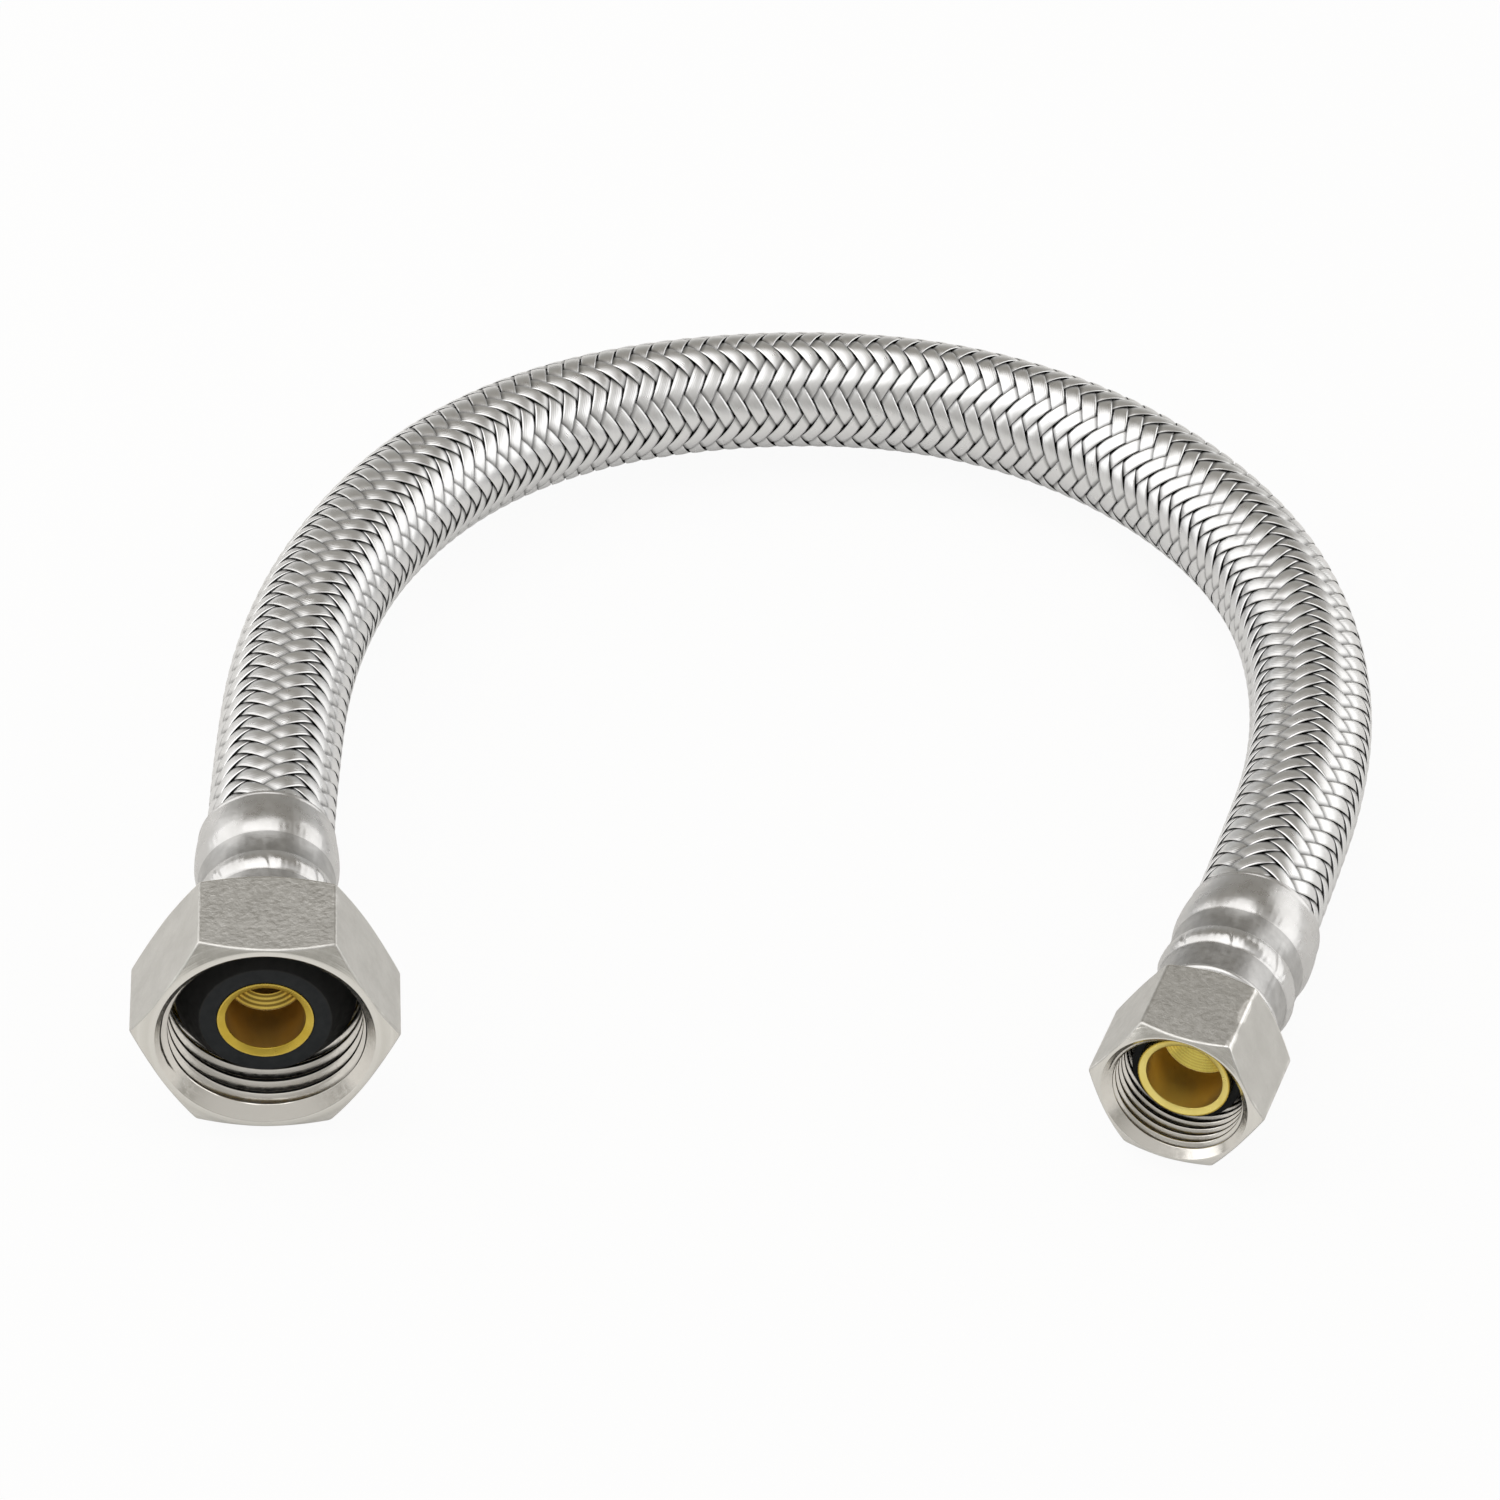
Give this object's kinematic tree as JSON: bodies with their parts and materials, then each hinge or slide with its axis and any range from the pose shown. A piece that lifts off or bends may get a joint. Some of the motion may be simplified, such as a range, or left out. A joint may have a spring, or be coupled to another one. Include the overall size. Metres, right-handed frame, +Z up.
{
  "type": "braided supply line",
  "caption": "Short braided faucet supply line bent into a U, with a large pipe-thread swivel nut on one end and a small compression swivel nut on the other.",
  "frame": {"origin": "centre of the large nut's mouth, on the fitting's axis", "axes": "+Y from the large mouth into its fitting, +Z up from the surface that the line lies on, +X towards the small end"},
  "size_m": [0.1311, 0.1299, 0.023],
  "materials": {
    "nickel_plate": "satin nickel plate on brass",
    "brass": "turned, unplated",
    "washer_rubber": "moulded, matt",
    "stainless_sleeve": "bright bulges, matt crimp bands",
    "braid_wire": "bright drawn wire",
    "tube_rubber": "extruded"
  },
  "bodies": {
    "line": {"large_insert": "brass", "large_washer": "washer_rubber", "large_ferrule": "stainless_sleeve", "small_insert": "brass", "small_washer": "washer_rubber", "small_ferrule": "stainless_sleeve", "steel_braid": "braid_wire", "inner_tube": "tube_rubber"},
    "large_nut": {"large_nut": "nickel_plate"},
    "small_nut": {"small_nut": "nickel_plate"}
  },
  "joints": [
    {"name": "large_nut_swivel", "type": "hinge", "parent": "line", "child": "large_nut", "pos_m": [0, 0, 0], "axis": [0, 1, 0], "continuous": true},
    {"name": "small_nut_swivel", "type": "hinge", "parent": "line", "child": "small_nut", "pos_m": [0.0893, -0.0031, -0.00356], "axis": [0.3859, 0.9225, 0], "continuous": true}
  ]
}
